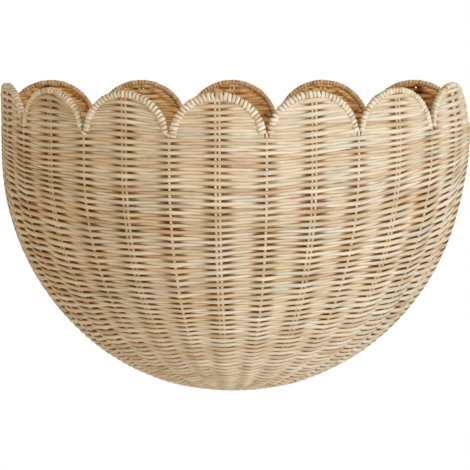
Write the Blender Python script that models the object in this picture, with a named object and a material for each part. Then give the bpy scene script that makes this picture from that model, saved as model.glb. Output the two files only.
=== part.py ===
# A woven half-bowl basket that hangs flat against a wall.
#
# Metres, +Z up. The bowed front faces -Y and the flat back lies on the plane Y = 0.
# The origin is midway between the two hanging holes, on that plane.
#
# Single rods, the stakes, fan out from the bottom of the basket. The weave goes in and out
# between them, so they stand in the middle of its thickness, and the wall is thick at each
# stake and hollow on both faces between them. Each scallop has a pair of stakes in its middle
# and a single stake at each of its valleys. A bound rim goes over each scallop, and its two
# legs run down beside those of its neighbours.

import math

import bmesh
import bpy
import numpy as np

# Overall sizes
basket_width = 0.340
basket_depth = 0.150
basket_height = 0.2295
upright_height = 0.0172  # of the wall between the top of the bowl and the rims' legs
plan_power = 1.1  # 1 gives a half ellipse from above, and more gives a slimmer one

# The weave and what it is woven on
wall_thickness = 0.0046
hollow_depth = 0.0013  # of each face halfway between two stakes, where the rows cross over
stake_diameter = 0.0022
stake_pair_pitch = 0.0029
corner_rod_diameter = 0.0046
clearance = 0.0003  # between any two neighbouring pieces
groove_draft = 0.0003  # how far the side of a groove or a shoulder leans

# The scalloped rim
front_scallops = 7
back_scallops = 5
scallop_rise = 0.031  # from a valley to a peak
rim_diameter = 0.0046
rim_leg_length = 0.006

# The bottom, where the stakes come together
narrowest_weave = 0.0011  # between the corner rod and the first pair, at the edge of the base
base_end_length = 0.0015  # the shortest edge at the two ends of the base
fan_lift = 0.010  # how much higher a row is in the middle of the back than at the corners

# The two holes under the rim of the outermost back scallops
hanging_hole_width = 0.0052
hanging_hole_height = 0.0050

# How finely the curves are stepped
bowl_steps = 10
arch_steps = 10
base_columns = 11
base_rows = 3
plan_samples = 2001
cut_overrun = 0.002
weld_distance = clearance / 100
hollow_overrun_share = 0.1

# Sizes that follow from those above
half_wall = wall_thickness / 2
stake_radius = stake_diameter / 2
rim_radius = rim_diameter / 2
mid_half_width = basket_width / 2 - half_wall
mid_depth = basket_depth - wall_thickness
stake_reach = stake_radius + clearance
pair_reach = stake_pair_pitch / 2 + stake_reach
corner_reach = max(corner_rod_diameter, wall_thickness) / 2 + clearance
leg_reach = rim_radius + clearance / 2  # from a valley to the middle of a rim's leg
corner_set_back = (math.sqrt(2) - 1) * leg_reach  # keeps the legs on both sides of a corner apart

# Heights above the hanging holes
hole_top_z = hanging_hole_height / 2
rim_top_z = hole_top_z + clearance + rim_diameter
bottom_z = rim_top_z - basket_height
mid_bottom_z = bottom_z + half_wall
valley_z = rim_top_z - scallop_rise
leg_end_z = valley_z - rim_leg_length
shoulder_z = leg_end_z - clearance
mid_bowl_height = shoulder_z - upright_height - mid_bottom_z
arch_rise = scallop_rise - rim_radius
underside_rise = arch_rise - rim_radius - clearance

arch_angles = np.linspace(0, math.pi, arch_steps + 1)
half_arch_angles = arch_angles[: arch_steps // 2 + 1]


def clear_scene():
    for thing in list(bpy.data.objects):
        bpy.data.objects.remove(thing, do_unlink=True)


def new_collection(name):
    collection = bpy.data.collections.new(name)
    bpy.context.scene.collection.children.link(collection)
    return collection


def new_material(name, colour, roughness):
    material = bpy.data.materials.new(name)
    material.use_nodes = True
    shader = material.node_tree.nodes["Principled BSDF"]
    shader.inputs["Base Color"].default_value = (*colour, 1)
    shader.inputs["Roughness"].default_value = roughness
    shader.inputs["Metallic"].default_value = 0
    return material


clear_scene()
basket = new_collection("hanging_wicker_basket")
cutters = new_collection("back_weave_cutters")

weave_material = new_material("woven_rattan", (0.62, 0.47, 0.29), 0.6)
stake_material = new_material("rattan_stake", (0.66, 0.50, 0.31), 0.5)
corner_material = new_material("rattan_corner_rod", (0.58, 0.42, 0.25), 0.5)
rim_material = new_material("rattan_binding", (0.70, 0.57, 0.38), 0.55)


# The plan of the front wall's middle surface, from the left corner round to the right one
def plan_curve(turn):
    cosine = np.cos(turn)
    x = -mid_half_width * np.sign(cosine) * np.abs(cosine) ** plan_power
    y = -mid_depth * np.sin(turn) ** plan_power
    return x, y


plan_turns = np.linspace(0, math.pi, plan_samples)
plan_x, plan_y = plan_curve(plan_turns)
plan_lengths = np.concatenate([[0], np.cumsum(np.hypot(np.diff(plan_x), np.diff(plan_y)))])
front_length = plan_lengths[-1]


def bay_centres(length, count):
    """The middles of the scallops along a wall, and half of a scallop's width."""
    half_bay = (length - 2 * corner_set_back) / count / 2
    return [corner_set_back + half_bay * (2 * i + 1) for i in range(count)], half_bay


front_centres, front_half_bay = bay_centres(front_length, front_scallops)
back_centres, back_half_bay = bay_centres(2 * mid_half_width, back_scallops)
back_centres = [centre - mid_half_width for centre in back_centres]

# The stakes can't reach the very bottom, so they start where there is just room for them all.
# The bowl is stepped by the angle of its profile, from there up to where it is upright.
base_spread = (corner_reach + narrowest_weave + groove_draft + pair_reach) / front_centres[0]
base_angle = math.asin(base_spread)
bowl_angles = np.linspace(base_angle, math.pi / 2, bowl_steps + 1)


def hollow_at(angle):
    """How deep the hollows between the stakes are, at an angle of the bowl's profile."""
    return hollow_depth * (1 - base_spread / math.sin(angle)) / (1 - base_spread)


def plan_point(along):
    x = np.interp(along, plan_lengths, plan_x)
    y = np.interp(along, plan_lengths, plan_y)
    return x, y


def plan_tangent(along):
    """The direction of the plan at a distance along it, read over one sample each way."""
    step = front_length / plan_samples
    ahead = np.array(plan_point(min(along + step, front_length)))
    behind = np.array(plan_point(max(along - step, 0)))
    return (ahead - behind) / np.linalg.norm(ahead - behind)


def front_wall(along, angle, z=None):
    """A point of the front wall's middle surface and the normal there.

    The angle runs from 0 at the bottom to a right angle where the wall stands upright.
    Above that, z gives the height.
    """
    x, y = plan_point(along)
    tangent_x, tangent_y = plan_tangent(along)
    spread = math.sin(angle)
    flat = math.cos(angle)
    if z is None:
        z = mid_bottom_z + mid_bowl_height * (1 - flat)
    normal = np.cross((tangent_x, tangent_y, 0), (flat * x, flat * y, mid_bowl_height * spread))
    return np.array((spread * x, spread * y - half_wall, z)), normal / np.linalg.norm(normal)


def underside_z(half_bay, offset):
    """The height of the weave's top edge under the rim, at an offset from a scallop's middle."""
    half_width = half_bay - leg_reach - rim_radius - clearance
    widths = half_width * np.cos(half_arch_angles)
    heights = valley_z + underside_rise * np.sin(half_arch_angles)
    return np.interp(abs(offset), widths[::-1], heights[::-1])


def rim_path(half_bay):
    """The middle line of a scallop's rim: its offset from the scallop's middle, and its height."""
    half_width = half_bay - leg_reach
    arch = [(-half_width * math.cos(a), valley_z + arch_rise * math.sin(a)) for a in arch_angles]
    return [(-half_width, leg_end_z), *arch, (half_width, leg_end_z)]


def finish(thing, material):
    thing.data.materials.append(material)
    basket.objects.link(thing)


def rod(name, points, radius, material, roundness):
    """A rod along a run of points, with closed ends."""
    curve = bpy.data.curves.new(name, "CURVE")
    curve.dimensions = "3D"
    curve.bevel_depth = radius
    curve.bevel_resolution = roundness
    curve.use_fill_caps = True
    spline = curve.splines.new("POLY")
    spline.points.add(len(points) - 1)
    for place, point in zip(spline.points, points):
        place.co = (*point, 1)
    spline.use_smooth = True
    finish(bpy.data.objects.new(name, curve), material)


def sheet(name, places, normals, outer, inner, material):
    """A closed sheet over a grid of places, with its two faces at offsets along the normals."""
    columns, rows = len(places), len(places[0])
    shell = bmesh.new()

    def skin(offsets):
        return [
            [shell.verts.new(places[i][j] + normals[i][j] * offsets[i][j]) for j in range(rows)]
            for i in range(columns)
        ]

    front, back = skin(outer), skin(inner)
    for i in range(columns - 1):
        for j in range(rows - 1):
            shell.faces.new((front[i][j], front[i + 1][j], front[i + 1][j + 1], front[i][j + 1]))
            shell.faces.new((back[i][j + 1], back[i + 1][j + 1], back[i + 1][j], back[i][j]))
        shell.faces.new((front[i][0], back[i][0], back[i + 1][0], front[i + 1][0]))
        shell.faces.new((front[i][-1], front[i + 1][-1], back[i + 1][-1], back[i][-1]))
    for j in range(rows - 1):
        shell.faces.new((front[0][j], front[0][j + 1], back[0][j + 1], back[0][j]))
        shell.faces.new((front[-1][j], back[-1][j], back[-1][j + 1], front[-1][j + 1]))
    bmesh.ops.recalc_face_normals(shell, faces=shell.faces)
    mesh = bpy.data.meshes.new(name)
    shell.to_mesh(mesh)
    shell.free()
    mesh.shade_smooth()
    mesh.set_sharp_from_angle(angle=math.radians(30))
    finish(bpy.data.objects.new(name, mesh), material)


def flat_plate(name, outline, near_y, far_y, collection):
    """A plate of an outline in X and Z, between two planes of Y, as a mesh."""
    curve = bpy.data.curves.new(name, "CURVE")
    curve.dimensions = "2D"
    curve.fill_mode = "BOTH"
    curve.extrude = (far_y - near_y) / 2
    spline = curve.splines.new("POLY")
    spline.points.add(len(outline) - 1)
    for place, (x, z) in zip(spline.points, outline):
        place.co = (x, z, 0, 1)
    spline.use_cyclic_u = True
    drawn = bpy.data.objects.new(name + "_outline", curve)
    drawn.rotation_euler = (math.pi / 2, 0, 0)
    drawn.location = (0, (near_y + far_y) / 2, 0)
    bpy.context.scene.collection.objects.link(drawn)
    bpy.context.view_layer.update()

    graph = bpy.context.evaluated_depsgraph_get()
    mesh = bpy.data.meshes.new_from_object(drawn.evaluated_get(graph))
    place = drawn.matrix_world.copy()
    bpy.data.objects.remove(drawn)
    welded = bmesh.new()
    welded.from_mesh(mesh)
    bmesh.ops.remove_doubles(welded, verts=welded.verts, dist=weld_distance)
    bmesh.ops.recalc_face_normals(welded, faces=welded.faces)
    welded.to_mesh(mesh)
    welded.free()
    plate = bpy.data.objects.new(name, mesh)
    plate.matrix_world = place
    collection.objects.link(plate)
    return plate


# The front wall
def half_columns(edge, centre, side, edge_reach):
    """The columns of half a front panel, from its outer edge in to the groove of the stakes.

    The edge is the line of the stake or the corner rod beside the panel. Each column is its
    places, its normals and the offsets of its outer and inner faces. It is named by its offset
    from the panel's middle at the top, and it draws in with the panel further down.
    """
    edge_offset = abs(centre - edge) - edge_reach
    side_offset = front_half_bay - leg_reach - rim_radius - clearance
    groove_offset = pair_reach + groove_draft

    def along(offset, spread):
        if offset < groove_offset:
            return centre - side * offset / spread
        outer = edge + side * edge_reach / spread
        inner = centre - side * groove_offset / spread
        return outer + (inner - outer) * (edge_offset - offset) / (edge_offset - groove_offset)

    under_rim = [side_offset - groove_draft]
    under_rim += [side_offset * math.cos(angle) for angle in half_arch_angles[1:-1]]
    under_rim += [groove_offset, pair_reach]
    tops = [(edge_offset, shoulder_z), (side_offset, shoulder_z)]
    tops += [(offset, underside_z(front_half_bay, offset)) for offset in under_rim]

    columns = []
    for offset, top_z in tops:
        grid = [front_wall(along(offset, math.sin(angle)), angle) for angle in bowl_angles]
        grid.append(front_wall(along(offset, 1), math.pi / 2, top_z))
        way_share = max(offset - groove_offset, 0) / (edge_offset - groove_offset)
        hollow_share = math.sin(math.pi * way_share) ** 2
        faces = [half_wall - hollow_at(angle) * hollow_share for angle in [*bowl_angles, math.pi / 2]]
        outer = faces if offset >= groove_offset else [-stake_reach] * len(faces)
        columns.append((
            [place for place, normal in grid],
            [normal for place, normal in grid],
            outer,
            [-face for face in faces],
        ))
    return columns


def front_panel(index):
    centre = front_centres[index]
    first, last = index == 0, index == front_scallops - 1
    left = half_columns(
        0 if first else centre - front_half_bay, centre, 1, corner_reach if first else stake_reach
    )
    right = half_columns(
        front_length if last else centre + front_half_bay,
        centre,
        -1,
        corner_reach if last else stake_reach,
    )
    places, normals, outer, inner = zip(*left, *right[::-1])
    sheet(f"front_scallop_{index + 1}_weave", places, normals, outer, inner, weave_material)


def front_stake(name, line, offset, top_z):
    """A stake of the front wall, at an offset to the side of a line of the plan."""
    points = [front_wall(line + offset / math.sin(angle), angle)[0] for angle in bowl_angles]
    points.append(front_wall(line + offset, math.pi / 2, top_z)[0])
    rod(name, points, stake_radius, stake_material, 1)


def front_rim(index):
    points = [
        front_wall(front_centres[index] + offset, math.pi / 2, z)[0]
        for offset, z in rim_path(front_half_bay)
    ]
    rod(f"front_scallop_{index + 1}_rim", points, rim_radius, rim_material, 2)


pair_offsets = {"left": -stake_pair_pitch / 2, "right": stake_pair_pitch / 2}
outer_stake_side = stake_pair_pitch / 2 + stake_radius

for number in range(front_scallops):
    front_panel(number)
    front_rim(number)
    for side_name, side_offset in pair_offsets.items():
        front_stake(
            f"front_scallop_{number + 1}_stake_{side_name}",
            front_centres[number],
            side_offset,
            underside_z(front_half_bay, outer_stake_side),
        )
for number in range(front_scallops - 1):
    valley = front_centres[number] + front_half_bay
    front_stake(f"front_valley_{number + 1}_stake", valley, 0, shoulder_z)


# The flat back
def outline_point(angle, inset=0):
    """A point of the back's lower outline, in X and Z, set inwards by an amount."""
    x = mid_half_width * math.sin(angle)
    z = mid_bottom_z + mid_bowl_height * (1 - math.cos(angle))
    across = mid_bowl_height * math.sin(angle)
    up = mid_half_width * math.cos(angle)
    size = math.hypot(across, up)
    return x - inset * across / size, z + inset * up / size


def back_line(x_top, angle, offset=0, ahead=0):
    """A point of a stake's line on the back, in X and Z.

    The lines fan out of the bottom and stand upright at the top of the bowl, at x_top.
    The offset is to the line's right, and ahead is further up it.
    """
    lean = math.sqrt(1 - (x_top / mid_half_width) ** 2)
    corner_z = mid_bowl_height * (1 - math.cos(angle))
    middle_z = (mid_bowl_height + fan_lift) * angle / (math.pi / 2)
    x = x_top * math.sin(angle)
    z = mid_bottom_z + corner_z + (middle_z - corner_z) * lean
    corner_slope = mid_bowl_height * math.sin(angle)
    middle_slope = (mid_bowl_height + fan_lift) / (math.pi / 2)
    step_x = x_top * math.cos(angle)
    step_z = corner_slope + (middle_slope - corner_slope) * lean
    size = math.hypot(step_x, step_z)
    right = np.array((step_z, -step_x)) / size
    onward = np.array((step_x, step_z)) / size
    return np.array((x, z)) + right * offset + onward * ahead


def back_stake(name, x_top, offset, top_z):
    line = [back_line(x_top, angle, offset) for angle in bowl_angles]
    line.append(np.array((x_top + offset, top_z)))
    rod(name, [(x, -half_wall, z) for x, z in line], stake_radius, stake_material, 1)


def groove_cutter(name, x_top, reach, top_z):
    """Cuts the slot of a stake, or of a pair, into the back's inner face."""
    right = [back_line(x_top, base_angle, reach, -clearance)]
    left = [back_line(x_top, base_angle, -reach, -clearance)]
    right += [back_line(x_top, angle, reach) for angle in bowl_angles[1:]]
    left += [back_line(x_top, angle, -reach) for angle in bowl_angles[1:]]
    right.append((x_top + reach, top_z + cut_overrun))
    left.append((x_top - reach, top_z + cut_overrun))
    floor_y = -half_wall + stake_reach
    hide(flat_plate(name, right + left[::-1], -wall_thickness - cut_overrun, floor_y, cutters))


def hole_cutter(name, x_centre):
    """Cuts a hanging hole, which the rim closes at its top."""
    right, left = x_centre + hanging_hole_width / 2, x_centre - hanging_hole_width / 2
    low, high = -hanging_hole_height / 2, hole_top_z + cut_overrun
    outline = [(left, low), (right, low), (right, high), (left, high)]
    hide(flat_plate(name, outline, -wall_thickness - cut_overrun, cut_overrun, cutters))


def hollow_lines(x_top, reach):
    """The two sides of a stake's line, as points in X and Z, for the hollows beside it."""
    sides = []
    for offset in (-reach - stake_radius, reach + stake_radius):
        line = [back_line(x_top, angle, offset) for angle in bowl_angles[1:]]
        sides.append([*line, (x_top + offset, rim_top_z)])
    return sides


def hollow_cutter(name, left, right, face_y, into):
    """Hollows a face of the back between two lines. Its section is a triangle, whose base
    stands just off the face and whose tip is at the full depth, halfway across.
    """
    depths = [hollow_at(angle) for angle in bowl_angles[1:]] + [hollow_depth]
    wedge = bmesh.new()
    sections = []
    for (left_x, left_z), (right_x, right_z), depth in zip(left, right, depths):
        across_x = (right_x - left_x) * hollow_overrun_share / 2
        across_z = (right_z - left_z) * hollow_overrun_share / 2
        off_y = face_y - into * depth * hollow_overrun_share
        corners = [
            (left_x - across_x, off_y, left_z - across_z),
            (right_x + across_x, off_y, right_z + across_z),
            ((left_x + right_x) / 2, face_y + into * depth, (left_z + right_z) / 2),
        ]
        sections.append([wedge.verts.new(corner) for corner in corners])
    for low, high in zip(sections, sections[1:]):
        for i in range(len(low)):
            wedge.faces.new((low[i - 1], low[i], high[i], high[i - 1]))
    wedge.faces.new(sections[0])
    wedge.faces.new(sections[-1])
    bmesh.ops.triangulate(wedge, faces=wedge.faces)
    bmesh.ops.recalc_face_normals(wedge, faces=wedge.faces)
    mesh = bpy.data.meshes.new(name)
    wedge.to_mesh(mesh)
    wedge.free()
    cutter = bpy.data.objects.new(name, mesh)
    cutters.objects.link(cutter)
    hide(cutter)


def hide(cutter):
    cutter.hide_render = True
    cutter.display_type = "WIRE"


def back_outline():
    """The back weave's outline, from the right shoulder down, round and over the scallops."""
    angles = [*bowl_angles[::-1], base_angle / 2, 0]
    right_side = [outline_point(angle, corner_reach) for angle in angles]
    left_side = [(-x, z) for x, z in right_side[-2::-1]]
    top_right = [(mid_half_width - corner_reach, shoulder_z)]
    top_left = [(corner_reach - mid_half_width, shoulder_z)]
    scallops = []
    half_width = back_half_bay - leg_reach - rim_radius - clearance
    for centre in back_centres:
        arch = [
            (centre - half_width * math.cos(angle), valley_z + underside_rise * math.sin(angle))
            for angle in arch_angles
        ]
        scallops += [(centre - half_width, shoulder_z), *arch, (centre + half_width, shoulder_z)]
    return top_right + right_side + left_side + top_left + scallops


back_weave = flat_plate("back_weave", back_outline(), -wall_thickness, 0, basket)
back_weave.data.materials.append(weave_material)

pair_top_z = underside_z(back_half_bay, outer_stake_side)
hole_pair_top_z = -hanging_hole_height / 2 - clearance
for number, centre in enumerate(back_centres):
    label = f"back_scallop_{number + 1}"
    has_hole = number in (0, back_scallops - 1)
    groove_cutter(f"{label}_groove", centre, pair_reach, hole_top_z)
    if has_hole:
        hole_cutter(f"{label}_hole", centre)
    for side_name, side_offset in pair_offsets.items():
        stake_top_z = hole_pair_top_z if has_hole else pair_top_z
        back_stake(f"{label}_stake_{side_name}", centre, side_offset, stake_top_z)
    rim_points = [(centre + offset, -half_wall, z) for offset, z in rim_path(back_half_bay)]
    rod(f"{label}_rim", rim_points, rim_radius, rim_material, 2)
for number in range(back_scallops - 1):
    valley = back_centres[number] + back_half_bay
    groove_cutter(f"back_valley_{number + 1}_groove", valley, stake_reach, shoulder_z)
    back_stake(f"back_valley_{number + 1}_stake", valley, 0, shoulder_z)

right_corner = [outline_point(angle, corner_reach + stake_reach) for angle in bowl_angles[1:]]
right_corner.append((mid_half_width - corner_reach - stake_reach, rim_top_z))
left_corner = [(-x, z) for x, z in right_corner]
hollow_edges = [left_corner]
for number, centre in enumerate(back_centres):
    hollow_edges += hollow_lines(centre, pair_reach)
    if number < back_scallops - 1:
        hollow_edges += hollow_lines(centre + back_half_bay, stake_reach)
hollow_edges.append(right_corner)
for number, (left, right) in enumerate(zip(hollow_edges[::2], hollow_edges[1::2])):
    hollow_cutter(f"back_wall_hollow_{number + 1}", left, right, 0, -1)
    hollow_cutter(f"back_inner_hollow_{number + 1}", left, right, -wall_thickness, 1)

cut = back_weave.modifiers.new("grooves_holes_and_hollows", "BOOLEAN")
cut.operation = "DIFFERENCE"
cut.solver = "EXACT"
cut.operand_type = "COLLECTION"
cut.collection = cutters


# The rod along the corner between the front and the back, from one end of the rim to the other
def corner_frame_rod():
    angles = [0, base_angle / 2, *bowl_angles]
    right_side = [outline_point(angle) for angle in angles] + [(mid_half_width, shoulder_z)]
    left_side = [(-x, z) for x, z in right_side[:0:-1]]
    points = [(x, -half_wall, z) for x, z in left_side + right_side]
    rod("corner_frame_rod", points, corner_rod_diameter / 2, corner_material, 2)


# The woven half disc that the front stakes start from
def bowl_bottom(x, y):
    """A point of the front wall's middle surface near the bottom, and the normal there."""
    power = 2 / plan_power

    def height(px, py):
        spread = (abs(px / mid_half_width) ** power + abs(py / mid_depth) ** power) ** (1 / power)
        return mid_bottom_z + mid_bowl_height * (1 - math.sqrt(1 - spread**2))

    slope_x = (height(x + clearance, y) - height(x - clearance, y)) / (2 * clearance)
    slope_y = (height(x, y + clearance) - height(x, y - clearance)) / (2 * clearance)
    normal = np.array((slope_x, slope_y, -1))
    return np.array((x, y - half_wall, height(x, y))), normal / np.linalg.norm(normal)


def base():
    spread = base_spread - clearance / mid_depth
    power = 2 / plan_power
    half_width, depth = spread * mid_half_width, spread * mid_depth
    rear_y = -corner_reach
    end_share = (corner_reach + base_end_length) / depth
    end_x = half_width * (1 - end_share**power) ** (1 / power)
    places, normals = [], []
    for i in range(base_columns + 1):
        x = -end_x * math.cos(math.pi * i / base_columns)
        front_y = -depth * (1 - abs(x / half_width) ** power) ** (1 / power)
        column = [
            bowl_bottom(x, rear_y + (front_y - rear_y) * j / base_rows) for j in range(base_rows + 1)
        ]
        places.append([place for place, normal in column])
        normals.append([normal for place, normal in column])
    outer = [[half_wall] * len(column) for column in places]
    inner = [[-half_wall] * len(column) for column in places]
    sheet("base_weave", places, normals, outer, inner, weave_material)


corner_frame_rod()
base()
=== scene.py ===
import math
from functools import partial, partialmethod

import bpy
import numpy as np
from mathutils import Matrix, Vector


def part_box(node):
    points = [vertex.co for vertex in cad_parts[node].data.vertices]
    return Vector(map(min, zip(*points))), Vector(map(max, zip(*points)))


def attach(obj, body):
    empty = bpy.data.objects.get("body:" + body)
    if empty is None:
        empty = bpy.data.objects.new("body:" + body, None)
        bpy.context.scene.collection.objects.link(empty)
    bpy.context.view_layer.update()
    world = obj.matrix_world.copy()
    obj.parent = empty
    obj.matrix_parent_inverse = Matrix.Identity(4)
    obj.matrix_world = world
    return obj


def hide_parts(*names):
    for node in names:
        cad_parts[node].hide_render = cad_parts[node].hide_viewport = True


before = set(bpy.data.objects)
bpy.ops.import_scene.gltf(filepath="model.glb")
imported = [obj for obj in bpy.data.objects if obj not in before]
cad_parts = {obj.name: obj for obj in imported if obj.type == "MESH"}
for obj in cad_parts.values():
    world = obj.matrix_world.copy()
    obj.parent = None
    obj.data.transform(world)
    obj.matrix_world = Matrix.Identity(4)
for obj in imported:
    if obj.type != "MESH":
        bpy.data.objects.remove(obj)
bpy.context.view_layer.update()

# the photograph's viewing angle, a little above and to the right of the middle
view = {
    "target": (0.0059, -0.060, -0.1011),
    "distance": 2.62,
    "azimuth": 4.03,  # degrees round to the right
    "elevation": 5.72,  # degrees up
    "roll": -0.26,
    "lens": 278.8,
    "sensor": 36,
    "clipEnd": 50,
}


def linked(name, data):
    # a new object in the scene
    made = bpy.data.objects.new(name, data)
    bpy.context.scene.collection.objects.link(made)
    return made


def placeCamera():
    azimuth, elevation, roll = (math.radians(view[k]) for k in ("azimuth", "elevation", "roll"))
    data = bpy.data.cameras.new("photo_camera")
    data.lens, data.sensor_width, data.clip_end = view["lens"], view["sensor"], view["clipEnd"]
    made = linked("photo_camera", data)
    made.matrix_world = (
        Matrix.Translation(view["target"])
        @ Matrix.Rotation(azimuth, 4, "Z")
        @ Matrix.Rotation(math.pi / 2 - elevation, 4, "X")
        @ Matrix.Rotation(roll, 4, "Z")
        @ Matrix.Translation((0, 0, view["distance"]))
    )
    bpy.context.scene.camera = made


placeCamera()
print("camera placed")


# attributes that are vectors, where the others are plain numbers
vectorLabels = {"wallNormal", "rowUp", "centre", "ring", "tangent", "fibre"}


def kindOf(label):
    return "FLOAT_VECTOR" if label in vectorLabels else "FLOAT"


# expressions that add their own nodes, in shader and geometry trees alike
class Wire:
    # one output socket, which reads like a number or a vector in an expression
    def __init__(self, graph, socket):
        self.graph, self.socket = graph, socket

    def combine(self, operation, other):
        types = {wire.socket.type for wire in (self, other) if isinstance(wire, Wire)}
        kind = "ShaderNodeVectorMath" if types & {"VECTOR", "RGBA"} else "ShaderNodeMath"
        return self.graph.node(kind, {"operation": operation}, {0: self, 1: other})

    __add__ = __radd__ = partialmethod(combine, "ADD")
    __sub__ = partialmethod(combine, "SUBTRACT")
    __mul__ = partialmethod(combine, "MULTIPLY")
    __truediv__ = partialmethod(combine, "DIVIDE")


class Graph:
    # a node tree, and the one method that adds nodes to it
    def __init__(self, tree):
        self.tree = tree

    def node(self, kind, settings=None, sockets=None, out=0):
        made = self.tree.nodes.new(kind)
        for name, value in (settings or {}).items():
            if name == "stops":
                self.setStops(made.color_ramp, value)
            else:
                setattr(made, name, value)
        for name, value in (sockets or {}).items():
            socket = made.inputs[name]
            if isinstance(value, Wire):
                self.link(value, socket)
            elif socket.type == "VECTOR" and isinstance(value, (int, float)):
                socket.default_value = (value, value, value)
            else:
                socket.default_value = value
        if out is None:
            return [Wire(self, socket) for socket in made.outputs]
        return Wire(self, made.outputs[out])

    def link(self, wire, socket):
        self.tree.links.new(wire.socket, socket)

    def setStops(self, ramp, stops):
        while len(ramp.elements) < len(stops):
            ramp.elements.new(0.5)
        for element, (position, colour) in zip(ramp.elements, stops):
            element.position = position
            element.color = (*colour, 1)

    def maths(self, operation, *values):
        return self.node("ShaderNodeMath", {"operation": operation}, dict(enumerate(values)))

    def dot(self, first, second):
        return self.node("ShaderNodeVectorMath", {"operation": "DOT_PRODUCT"}, {0: first, 1: second}, 1)

    def vector(self, x, y, z):
        return self.node("ShaderNodeCombineXYZ", {}, {0: x, 1: y, 2: z})

    def split(self, wire):
        return self.node("ShaderNodeSeparateXYZ", {}, {0: wire}, None)

    def mixColour(self, factor, first, second):
        return self.node("ShaderNodeMix", {"data_type": "RGBA"}, {0: factor, 6: first, 7: second}, 2)

    def blend(self, factor, first, second):
        return self.node("ShaderNodeMix", {"data_type": "FLOAT"}, {0: factor, 2: first, 3: second})

    def noise(self, place, detail, out=0):
        return self.node("ShaderNodeTexNoise", {}, {"Vector": place, "Scale": 1.0, "Detail": detail}, out)

    def remap(self, value, low, high, toLow=0.0, toHigh=1.0):
        sockets = {0: value, 1: low, 2: high, 3: toLow, 4: toHigh}
        return self.node("ShaderNodeMapRange", {"clamp": True}, sockets)

    def shape(self, kind, sockets):
        return self.node("GeometryNode" + kind, {}, sockets)

    def named(self, label):
        return self.node("GeometryNodeInputNamedAttribute", {"data_type": kindOf(label)}, {"Name": label})

    def store(self, geometry, label, value, domain="POINT"):
        settings = {"data_type": kindOf(label), "domain": domain}
        sockets = {"Geometry": geometry, "Name": label, "Value": value}
        return self.node("GeometryNodeStoreNamedAttribute", settings, sockets)


# rattan: pale round core with fine lengthwise fibres, each strand its own shade
rattan = {
    "brown": (0.33, 0.195, 0.095),
    "tan": (0.47, 0.315, 0.165),
    "honey": (0.60, 0.445, 0.265),
    "straw": (0.67, 0.54, 0.355),
    "cream": (0.72, 0.625, 0.46),
    "blush": (0.66, 0.46, 0.32),
    "sage": (0.53, 0.50, 0.34),
    "ash": (0.60, 0.555, 0.47),
    "tones": ("tan", "honey", "straw", "cream", "straw", "cream"),
    "tonePlaces": (0.0, 0.25, 0.48, 0.66, 0.82, 1.0),
    "toneScale": 24.0,
    "toneShares": (0.8, 0.45),  # of the noise and of the strand's own number
    "toneRange": (0.28, 0.95),
    "halfShade": (0.66, 0.47, 0.27),  # painted shade: what is left of each colour part way into the weave
    "recess": (0.21, 0.100, 0.020),  # and deep down in it, the darkest painted shade
    "fibreScale": (55.0, 1500.0, 1500.0),
    "fibreRange": (0.30, 0.62),
    "fibreShades": (0.78, 1.05),  # of the lines between the fibres, and of the fibres
    "roughness": (0.70, 0.54),
    "bump": 0.25,
    "bumpHeight": 0.0002,
    "specular": 0.06,
}
# patches of other colours: noise scale and shift, where each begins and is full, and its share
tints = {
    "blush": (19.0, 3.1, 0.55, 0.68, 0.55),
    "sage": (15.0, 7.7, 0.57, 0.70, 0.60),
    "ash": (13.0, 5.3, 0.58, 0.72, 0.60),
    "brown": (31.0, 9.2, 0.62, 0.76, 0.55),
}


def newMaterial(name):
    material = bpy.data.materials.new(name)
    material.use_nodes = True
    return material, material.node_tree.nodes["Principled BSDF"].inputs


def rattanShader(name, age=(1.0, 1.0, 1.0)):
    # the tint scales a piece's whole colour: on the back's weave and its rims it is painted shade, darker and
    # warmer for the shaded inside of the basket; on the front rims and the stakes it makes them paler
    material, surface = newMaterial(name)
    graph = Graph(material.node_tree)

    def attribute(label, out):
        return graph.node("ShaderNodeAttribute", {"attribute_name": label}, {}, out)

    fibre, strand, recess = attribute("fibre", 1), attribute("strand", 2), attribute("recess", 2)

    def patches(scale, shift):
        sockets = {"Vector": fibre, "Scale": (scale,) * 3, "Location": (shift,) * 3}
        return graph.noise(graph.node("ShaderNodeMapping", {}, sockets), 1.0)

    ofNoise, ofStrand = rattan["toneShares"]
    tone = patches(rattan["toneScale"], 0.0) * ofNoise + strand * ofStrand
    tone = graph.remap(tone, *rattan["toneRange"])
    stops = [(place, rattan[shade]) for place, shade in zip(rattan["tonePlaces"], rattan["tones"])]
    colour = graph.node("ShaderNodeValToRGB", {"stops": stops}, {0: tone})
    for tint, (scale, shift, low, high, most) in tints.items():
        share = graph.remap(patches(scale, shift), low, high, 0.0, most)
        colour = graph.mixColour(share, colour, (*rattan[tint], 1))
    fibrePlace = graph.node("ShaderNodeMapping", {}, {"Vector": fibre, "Scale": rattan["fibreScale"]})
    lines = graph.noise(fibrePlace, 3.0)
    colour = colour * graph.remap(lines, *rattan["fibreRange"], *rattan["fibreShades"])
    # painted shade: the deeper a point lies in the weave, the darker and browner its colour
    depths = ((0.0, (1, 1, 1)), (0.5, rattan["halfShade"]), (1.0, rattan["recess"]))
    stops = [(share, tuple(a * r for a, r in zip(age, left))) for share, left in depths]
    colour = colour * graph.node("ShaderNodeValToRGB", {"stops": stops}, {0: recess})
    bump = {"Strength": rattan["bump"], "Distance": rattan["bumpHeight"], "Height": lines}
    graph.link(colour, surface["Base Color"])
    graph.link(graph.remap(lines, 0.3, 0.7, *rattan["roughness"]), surface["Roughness"])
    graph.link(graph.node("ShaderNodeBump", {}, bump), surface["Normal"])
    surface["Specular IOR Level"].default_value = rattan["specular"]
    return material


weftRattan = rattanShader("weft_rattan")
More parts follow.
